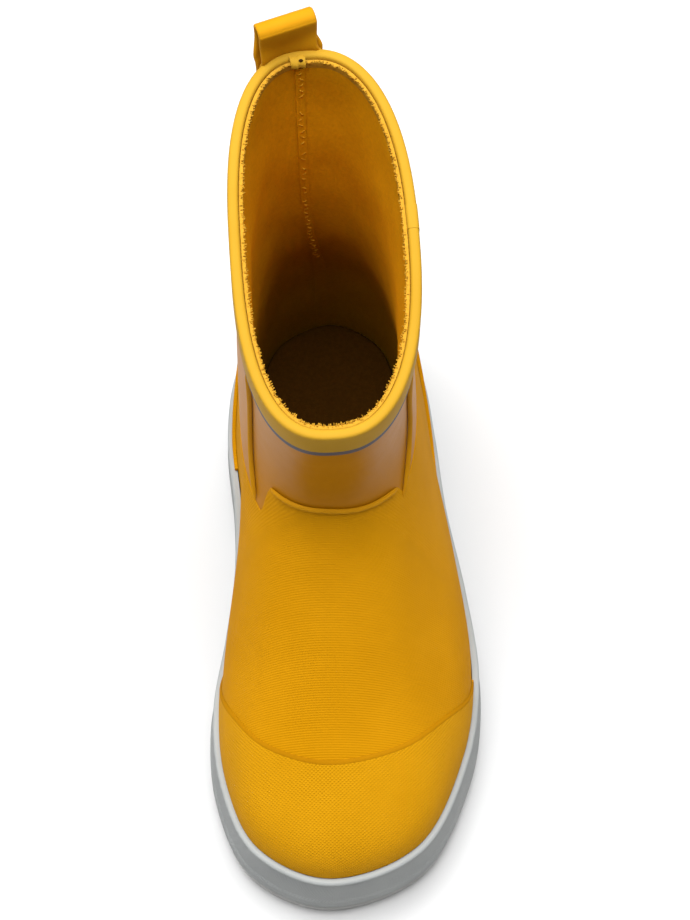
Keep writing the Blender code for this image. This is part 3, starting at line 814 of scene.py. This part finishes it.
def make_toe_crease():
    """A narrow fillet from the toe cap's face to the foot along its rear edge, in darker rubber as a painted
    shade line in the crease.
    """
    end = TOE_CAP_REACH * 0.97
    s = np.linspace(-end, end, 161)
    profile = np.array(CREASE_PROFILE)
    points = at(s[:, None], cap_edge(s)[:, None] + profile[None, :, 1], profile[None, :, 0])
    add_detail(lattice("toe_cap_crease", points, CREASE_SHADE_OCHRE, False, True))


def bead_along(name, s, h, size, node):
    """A half-round rib of size (width, height) laid along (s, h), thinning to nothing at both ends."""
    width, height = size
    line = skin(s, h)
    normal = outward(s, h)
    side = np.cross(normal, unit(np.gradient(line, axis=0)))
    run = np.linspace(0.0, 1.0, len(s))
    from_end = np.minimum(run, 1.0 - run) / RIB_TAPER
    taper = np.sqrt(np.clip(1.0 - np.maximum(1.0 - from_end, 0.0) ** 2, 0.0004, 1.0))
    turn = np.linspace(0.0, math.pi, 13)
    rows = []
    for angle in turn:
        reach = (width / 2.0) * math.cos(angle) * taper
        rise = SKIN_LIFT + height * math.sin(angle) * taper
        rows.append(line + side * reach[:, None] + normal * rise[:, None])
    for angle in turn[::-1][1:-1]:
        reach = (width / 2.0) * math.cos(angle) * taper
        rows.append(line + side * reach[:, None] + normal * SKIN_LIFT * 0.5)
    settle(lattice(name, np.stack(rows, axis=1), DEEP_YELLOW, False, True), node)


def make_ribs():
    """The arch over the instep, and the upright rib on each side, which hooks forward at its foot."""
    s = np.linspace(INSTEP_CENTRE - INSTEP_REACH * 1.03, INSTEP_CENTRE + INSTEP_REACH * 1.03, 81)
    arch = leg_line(np.clip(s, INSTEP_CENTRE - INSTEP_REACH, INSTEP_CENTRE + INSTEP_REACH))
    bead_along("instep_rib_bead", s, arch, INSTEP_RIB_SIZE, "instep_rib")
    for node, stations in (("side_rib_outer", OUTER_RIB), ("side_rib_inner", INNER_RIB)):
        h = np.linspace(stations[0][0], TRIM_TOP - GAP, 81)
        bead_along(node + "_bead", smooth_through(stations)(h), h, SIDE_RIB_SIZE, node)


def rounded(corners, radius, steps=5):
    """A closed outline with its corners rounded; corners are (d, h) in order."""
    path = []
    count = len(corners)
    for i in range(count):
        here = np.array(corners[i])
        back = np.array(corners[i - 1]) - here
        ahead = np.array(corners[(i + 1) % count]) - here
        reach = min(radius, np.linalg.norm(back) * 0.45, np.linalg.norm(ahead) * 0.45)
        start = here + unit(back) * reach
        end = here + unit(ahead) * reach
        for t in np.linspace(0.0, 1.0, steps):
            path.append(start * (1.0 - t) ** 2 + here * 2.0 * t * (1.0 - t) + end * t ** 2)
    return np.array(path)


def band_profile(spare=0.0):
    """Section of the band, as (d, h) corners, grown by spare."""
    low = RIM_HEIGHT - BAND_HEIGHT - spare
    crown = RIM_HEIGHT + BAND_CROWN + spare
    outer = GAP + OVERLAY + spare
    inner = BAND_INNER - spare
    leg_top = RIM_HEIGHT - RUBBER + GAP
    return rounded([
        (SKIN_LIFT, low), (outer, low), (outer, crown), (inner, crown), (inner, leg_top - 0.0010),
        (SKIN_LIFT, leg_top - 0.0010),
    ], BAND_ROUNDING)


def make_rim():
    """The band over the leg's top edge, the lap where its ends meet, and the stripe under it."""
    s = round_the_boot()
    settle(lattice("top_band_binding", swept(s, band_profile()), TRIM_YELLOW, True, True), "top_band")
    lap = np.linspace(LAP_PLACE - LAP_HALF_SPAN, LAP_PLACE + LAP_HALF_SPAN, 25)
    points = swept(lap, band_profile(LAP_SPARE))
    add_detail(lattice("top_band_lap", points, TRIM_YELLOW, False, True))
    stripe_top = RIM_HEIGHT - BAND_HEIGHT + 0.0002
    sheet("pinstripe_band", "pinstripe", s, constant(stripe_top - STRIPE_HEIGHT), constant(stripe_top),
          SKIN_LIFT, GAP + STRIPE_THICKNESS, 6, 0.0003, STRIPE_SLATE, ring=True)


# ---------------- the inside


def lining_face(h):
    """How far in the lining's outer and inner faces lie: closer to the rubber at the mouth."""
    to_mouth = ease(h, *MOUTH_HEIGHTS)
    outer = LINING_OUTER + (EDGE_OUTER - LINING_OUTER) * to_mouth
    inner = LINING_INNER + (EDGE_INNER - LINING_INNER) * to_mouth
    return outer, inner


def make_lining():
    """The textile lining, with soft unevenness."""
    s = round_the_boot()
    h = np.linspace(LINING_BOTTOM, RIM_HEIGHT - EDGE_DEPTH, 90)
    outer, inner = lining_face(h)
    all_h = np.concatenate([h, h[::-1]])
    all_d = np.concatenate([outer, inner[::-1]])
    ripple = RIPPLE * np.sin(s * 2.0 * math.pi * 9.0)[:, None] * np.sin(all_h * 260.0)[None, :]
    ripple[:, :len(h)] = 0.0
    points = at(s[:, None], all_h[None, :], all_d[None, :] + ripple)
    settle(lattice("lining_cloth", points, LINING_OCHRE, True, True), "lining")


def nub(bm, centre, axes, size, turn):
    """A small rounded tuft: a ball stretched to size along its three axes."""
    steps = 6
    rings = 4
    rows = []
    for j in range(rings + 1):
        polar = math.pi * j / rings
        row = []
        count = 1 if j in (0, rings) else steps
        for i in range(count):
            around = 2.0 * math.pi * i / steps + turn
            local = (
                size[0] * math.sin(polar) * math.cos(around),
                size[1] * math.sin(polar) * math.sin(around),
                size[2] * math.cos(polar),
            )
            spot = centre + sum((axis * value for axis, value in zip(axes, local)), Vector())
            row.append(bm.verts.new(spot))
        rows.append(row)
    for above, below in zip(rows, rows[1:]):
        for i in range(steps):
            k = (i + 1) % steps
            if len(above) == 1:
                bm.faces.new((above[0], below[i], below[k]))
            elif len(below) == 1:
                bm.faces.new((above[i], below[0], above[k]))
            else:
                bm.faces.new((above[i], below[i], below[k], above[k]))


def make_cut_edge():
    """The lining's frayed top edge: a pale rim and a row of small tufts, uneven in size and lean."""
    top = RIM_HEIGHT - EDGE_DROP
    bottom = RIM_HEIGHT - EDGE_DEPTH - 0.0002
    inner = EDGE_INNER - 0.00005
    profile = rounded([(EDGE_OUTER, bottom), (EDGE_OUTER, top), (inner, top), (inner, bottom)], 0.0003)
    points = swept(round_the_boot(), profile)
    add_detail(lattice("lining_pale_rim", points, EDGE_OCHRE, True, True))
    draw = random.Random(11)
    count = 620
    bm = bmesh.new()
    for i in range(count):
        s = (i + draw.uniform(-0.35, 0.35)) / count
        h = RIM_HEIGHT - EDGE_DROP + draw.uniform(-0.0003, 0.0002)
        d = EDGE_INNER + 0.0003 + draw.uniform(-0.0006, 0.0002)
        centre = Vector(at(s, h, d))
        out = Vector(outward(s, h))
        lean = UP - out * draw.uniform(0.2, 1.6)
        up = lean.normalized()
        side = out.cross(up).normalized()
        out = up.cross(side)
        size = (draw.uniform(0.00013, 0.00026), draw.uniform(0.00015, 0.00028), draw.uniform(0.0003, 0.0007))
        nub(bm, centre, (side, out, up), size, draw.uniform(0.0, 1.0))
    add_small_detail("lining_cut_edge", bm, EDGE_OCHRE)


def make_seam():
    """The lining's back seam: a flat tape, and a zigzag of short stitches down it."""
    s = np.linspace(SEAM_PLACE - SEAM_HALF_SPAN, SEAM_PLACE + SEAM_HALF_SPAN, 9)
    h = np.linspace(SEAM_FOOT, RIM_HEIGHT - EDGE_DEPTH, 70)
    tape = lining_face(h)[1] - 0.0001
    outline = np.stack([np.concatenate([tape, tape[::-1] - SEAM_TAPE]), np.concatenate([h, h[::-1]])], axis=1)
    settle(lattice("lining_seam_cloth", swept(s, outline), LINING_OCHRE, False, True), "lining_seam_tape")
    draw = random.Random(5)
    bm = bmesh.new()
    pitch = 0.0023
    reach = 0.0030
    for i in range(int((RIM_HEIGHT - SEAM_DEPTH) / pitch)):
        h = RIM_HEIGHT - STITCH_DROP - i * pitch
        if draw.random() < 0.20:
            continue
        d = float(lining_face(h)[1]) - STITCH_OUT
        lean = 0.0005 if i % 2 else -0.0005
        shift = draw.uniform(-0.0014, 0.0014)
        ends = [
            Vector(at(SEAM_PLACE + shift + side * reach, h + side * lean + draw.uniform(-0.0002, 0.0002), d))
            for side in (-1.0, 1.0)
        ]
        thread(bm, ends[0], ends[1], -Vector(outward(SEAM_PLACE, h)), draw.uniform(0.00012, 0.00019))
    add_small_detail("lining_seam_stitches", bm, THREAD_OCHRE)


def make_tab():
    """The end of the seam tape folded over the mouth's edge beside the seam, with a dark nub as the painted
    shade of a needle hole.
    """
    s = np.linspace(*TAB_SPAN, 25)
    path = bezier([(-0.0010, 0.0006), (-0.0018, 0.0007), (-0.0027, 0.0003), (-0.0033, -0.0004),
                   (-0.0035, -0.0012)], 5)
    thickness = 0.00035
    d = np.concatenate([path[:, 0], path[::-1, 0]])
    h = RIM_HEIGHT + np.concatenate([path[:, 1], path[::-1, 1] - thickness])
    lumps = 0.00012 * np.sin(s * 520.0) + 0.00006 * np.sin(s * 1150.0)
    points = at(s[:, None], h[None, :] + lumps[:, None], d[None, :] + lumps[:, None])
    add_detail(lattice("seam_tape_end", points, TRIM_YELLOW, False, True))
    bm = bmesh.new()
    # a dark nub on the tape: painted shade of the needle hole
    centre = Vector(at(HOLE_PLACE, RIM_HEIGHT + 0.0005, -0.0026))
    side = Vector(unit(skin(HOLE_PLACE + 0.0025, RIM_HEIGHT) - skin(HOLE_PLACE - 0.0045, RIM_HEIGHT)))
    nub(bm, centre, (side, side.cross(UP), UP), (0.00065, 0.00045, 0.00035), 0.0)
    add_small_detail("seam_tape_hole", bm, HOLE_SHADE_BROWN)


def thread(bm, start, end, rise, radius, steps=7, sides=6):
    """One stitch: a thin arched tube whose ends dip into the cloth."""
    along = (end - start).normalized()
    across = along.cross(rise).normalized()
    up = across.cross(along)
    rings = []
    for i in range(steps):
        t = i / (steps - 1)
        arch = math.sin(math.pi * t)
        centre = start.lerp(end, t) + up * (arch * radius * 1.6 - radius)
        size = radius * (0.45 + 0.55 * arch)
        rings.append([
            bm.verts.new(centre + (across * math.cos(a) + up * math.sin(a)) * size)
            for a in (2.0 * math.pi * k / sides for k in range(sides))
        ])
    for first, second in zip(rings, rings[1:]):
        for k in range(sides):
            m = (k + 1) % sides
            bm.faces.new((first[k], first[m], second[m], second[k]))
    bm.faces.new(rings[0])
    bm.faces.new(rings[-1])


def make_footbed():
    """The loose footbed: crowned a little, with rolled edges and a textile face, its cloth near black as
    painted shade deep in the boot.
    """
    s = round_the_boot(192)
    clear = LINING_INNER - FOOTBED_CLEARANCE
    edge = at(s, FOOTBED_TOP, clear)
    centre = edge.mean(axis=0)
    rows = []
    for share, z in ((0.0, FOOTBED_BOTTOM), (0.93, FOOTBED_BOTTOM), (0.985, FOOTBED_BOTTOM + 0.0004),
                     (1.0, 0.0132), (1.0, 0.0146), (0.992, 0.0156), (0.975, COVER_TOP), (0.80, COVER_TOP),
                     (0.55, COVER_TOP), (0.30, COVER_TOP), (0.0, COVER_TOP)):
        ring = centre + (edge - centre) * share
        ring[:, 2] = z
        rows.append(ring)
    points = np.stack(rows, axis=1)
    piece = lattice("footbed_pad", points, FOOTBED_SHADE_CLOTH, True, False)
    rework(piece.data, lambda bm: bmesh.ops.remove_doubles(bm, verts=bm.verts, dist=0.00001))
    settle(piece, "footbed_cover", "footbed", body="insole")


# ---------------- the pull loop


def bezier(points, count=24):
    """A smooth run through points: Catmull-Rom, with the ends held."""
    points = [np.array(p, float) for p in points]
    padded = [points[0] * 2.0 - points[1]] + points + [points[-1] * 2.0 - points[-2]]
    run = []
    for p0, p1, p2, p3 in zip(padded, padded[1:], padded[2:], padded[3:]):
        for t in np.linspace(0.0, 1.0, count, endpoint=False):
            run.append(0.5 * (2.0 * p1 + (p2 - p0) * t + (2.0 * p0 - 5.0 * p1 + 4.0 * p2 - p3) * t ** 2
                              + (3.0 * p1 - p0 - 3.0 * p2 + p3) * t ** 3))
    run.append(points[-1])
    return np.array(run)


def loop_path():
    """The strap's middle line from its hidden end to its sewn end, as (out, up) from the loop's root."""
    half = (LOOP_GAP + STRAP_THICKNESS) / 2.0
    shoulder = LOOP_HEIGHT - half - STRAP_THICKNESS / 2.0
    waist = shoulder * 0.36
    hidden = [(-0.0012, -0.0120), (-0.0012, -0.0040), (-0.0020, -0.0012), (-0.0019, waist)]
    crown = [(-half * math.cos(a), shoulder + half * math.sin(a)) for a in np.linspace(0.0, math.pi, 7)]
    sewn = [(0.0012, waist), (0.0009, -0.0008), (0.0002, -0.0040), (0.0001, -0.0120)]
    end = [(0.0001, -LOOP_ROOT_RISE - ANCHOR_DROP)]
    return bezier(hidden + crown + sewn + end, 8)


def loop_surface(path, across):
    """Points of the strap's middle surface: rows along path, columns at the places across (-0.5 to 0.5).

    The strap is straight across at its crown, follows the leg's curve where it is sewn on, and flares
    at its foot on the side nearest the heel.
    """
    reach = LOOP_WIDTH / LEG_GIRTH
    root = at(LOOP_PLACE, RIM_HEIGHT + LOOP_ROOT_RISE, LOOP_ROOT_OUT)
    chord = skin(LOOP_PLACE + reach / 2.0, RIM_HEIGHT) - skin(LOOP_PLACE - reach / 2.0, RIM_HEIGHT)
    heading = math.atan2(chord[1], chord[0]) + LOOP_TURN
    side = np.array([math.cos(heading), math.sin(heading), 0.0])
    up = np.array([0.0, 0.0, 1.0])
    away = np.cross(side, up)
    out, rise = path[:, :1], path[:, 1:]
    across = np.asarray(across, float)[None, :]
    flare = LOOP_FLARE / LOOP_WIDTH * 2.0 * (1.0 - ease(rise, -0.0030, 0.0008))
    across = across + np.minimum(across, 0.0) * flare
    curved = at(LOOP_PLACE + across * reach, RIM_HEIGHT + LOOP_ROOT_RISE + rise, LOOP_ROOT_OUT + out)
    straight = root + side * (across * LOOP_WIDTH)[..., None] + away * out[..., None] + up * rise[..., None]
    share = ease(rise, -0.0010, 0.0060)[..., None]
    return curved * (1.0 - share) + straight * share


def make_pull_loop():
    """One strap, sewn to the leg, that rises behind the rim, turns over and comes back under itself."""
    path = loop_path()
    radius = STRAP_THICKNESS / 2.0
    edge = 0.5 - radius / LOOP_WIDTH
    outline = []
    for side in (1.0, -1.0):
        for angle in np.linspace(-math.pi / 2.0, math.pi / 2.0, 7):
            place = edge + radius / LOOP_WIDTH * math.cos(angle)
            outline.append((side * place, side * radius * math.sin(angle)))
        for place in np.linspace(edge, -edge, 14)[1:-1]:
            outline.append((side * place, side * radius))
    across, height = np.array(outline).T
    middle = loop_surface(path, across)
    along = np.gradient(middle, axis=0)
    sideways = loop_surface(path, across + 0.02) - loop_surface(path, across - 0.02)
    normal = unit(np.cross(sideways, along))
    strap = lattice("pull_loop_strap", middle + normal * height[None, :, None], DEEP_YELLOW, False, True)
    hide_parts("pull_loop", "loop_anchor")
    root = Vector(at(LOOP_PLACE, RIM_HEIGHT + LOOP_ROOT_RISE, LOOP_ROOT_OUT))
    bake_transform(strap)
    make_loop_stitches()


def make_loop_stitches():
    """Two rows of stitches up the strap's sewn part and two across it."""
    bm = bmesh.new()
    reach = LOOP_WIDTH / LEG_GIRTH
    d = LOOP_ROOT_OUT + 0.0001 + STRAP_THICKNESS / 2.0
    low = RIM_HEIGHT - ANCHOR_DROP + 0.0025
    high = RIM_HEIGHT - 0.0035
    heights = np.linspace(low, high, 10)
    half = 0.36
    gap = 0.0003
    radius = 0.00020
    for side in (-half, half):
        for below, above in zip(heights, heights[1:]):
            s = LOOP_PLACE + side * reach
            start, end = (Vector(at(s, h, d)) for h in (below + gap, above - gap))
            thread(bm, start, end, Vector(outward(s, below)), radius)
    places = np.linspace(-half, half, 6)
    for h in (low, high):
        for left, right in zip(places, places[1:]):
            start, end = (Vector(at(LOOP_PLACE + side * reach, h, d)) for side in (left + 0.02, right - 0.02))
            thread(bm, start, end, Vector(outward(LOOP_PLACE, h)), radius)
    add_small_detail("loop_anchor_stitches", bm, THREAD_OCHRE)


# ---------------- carried-over CAD nodes


def dress_hidden_nodes():
    """The pieces inside the boot keep their CAD shapes and get their own materials."""
    finishes = {
        "midsole_filler": FOAM_GREY,
        "insole_board": BOARD_TAN,
        "toe_puff": BOARD_TAN,
        "heel_stiffener": BOARD_TAN,
    }
    for node, material in finishes.items():
        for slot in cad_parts[node].material_slots:
            slot.material = material


# ---------------- floor, light and camera


def area_light(name, place, target, size, power):
    """A soft white light at place that faces target."""
    data = bpy.data.lights.new(name, "AREA")
    data.shape = "RECTANGLE"
    data.size = size[0]
    data.size_y = size[1]
    data.energy = power
    light = add_object(name, data)
    light.location = place
    light.rotation_euler = (Vector(target) - Vector(place)).to_track_quat("-Z", "Y").to_euler()


def make_studio():
    """A round pale floor, a large soft light overhead, weak front and side lights, and a pale world."""
    bpy.ops.mesh.primitive_circle_add(vertices=128, radius=1.1, fill_type="NGON", location=(0.0, 0.0, 0.0))
    floor = bpy.context.active_object
    floor.name = "studio_floor"
    shader = Shader("studio_floor_paint")
    paint = shader.ramp(shader.noise(3.0), [(0.0, (0.62, 0.62, 0.62)), (1.0, (0.64, 0.64, 0.64))])
    shader.surface(Base_Color=paint, Roughness=0.9)
    floor.data.materials.append(shader.material)
    area_light("key_light", (-0.08, 0.22, 1.50), (0.0, 0.0, 0.08), (1.2, 1.2), 50.5)
    area_light("front_light", (-0.15, -0.60, 1.50), (0.0, 0.0, 0.12), (0.8, 0.8), 1.5)
    area_light("left_light", (-1.20, 0.00, 0.45), (0.0, 0.0, 0.10), (0.8, 0.9), 2.2)
    area_light("right_light", (1.20, 0.00, 0.45), (0.0, 0.0, 0.10), (0.8, 0.9), 1.9)
    make_world(light=0.06, seen=0.60)
    bpy.context.scene.view_settings.view_transform = "Standard"


def make_world(light, seen):
    """A white world of strength light, which the camera sees with strength seen beyond the floor's edge."""
    world = bpy.data.worlds.new("studio_world")
    world.use_nodes = True
    nodes = world.node_tree.nodes
    background = nodes["Background"]
    background.inputs["Color"].default_value = (1.0, 1.0, 1.0, 1.0)
    path = nodes.new("ShaderNodeLightPath")
    strength = nodes.new("ShaderNodeMapRange")
    strength.inputs["To Min"].default_value = light
    strength.inputs["To Max"].default_value = seen
    world.node_tree.links.new(path.outputs["Is Camera Ray"], strength.inputs["Value"])
    world.node_tree.links.new(strength.outputs["Result"], background.inputs["Strength"])
    bpy.context.scene.world = world


def make_camera():
    """The camera looks down on the toe from in front."""
    azimuth = math.radians(-1.7)
    elevation = math.radians(67.1)
    distance = 0.711
    target = Vector((0.0, 0.01375, 0.080))
    view = Vector((
        -math.sin(azimuth) * math.cos(elevation),
        math.cos(azimuth) * math.cos(elevation),
        -math.sin(elevation),
    ))
    data = bpy.data.cameras.new("camera")
    data.lens = 98.9
    data.sensor_width = 36.0
    data.clip_start = 0.01
    camera = add_object("camera", data)
    level = view.cross(UP).normalized()
    upright = level.cross(view)
    roll = math.radians(0.98)
    right = level * math.cos(roll) + upright * math.sin(roll)
    up = upright * math.cos(roll) - level * math.sin(roll)
    turn = Matrix((right, up, -view)).transposed().to_4x4()
    camera.matrix_world = Matrix.Translation(target - view * distance) @ turn
    bpy.context.scene.camera = camera


make_camera()
make_studio()
make_outsole()
make_foxing()
make_bead()
make_upper()
make_toe_crease()
make_ribs()
make_rim()
make_lining()
make_cut_edge()
make_seam()
make_tab()
make_footbed()
make_pull_loop()
dress_hidden_nodes()
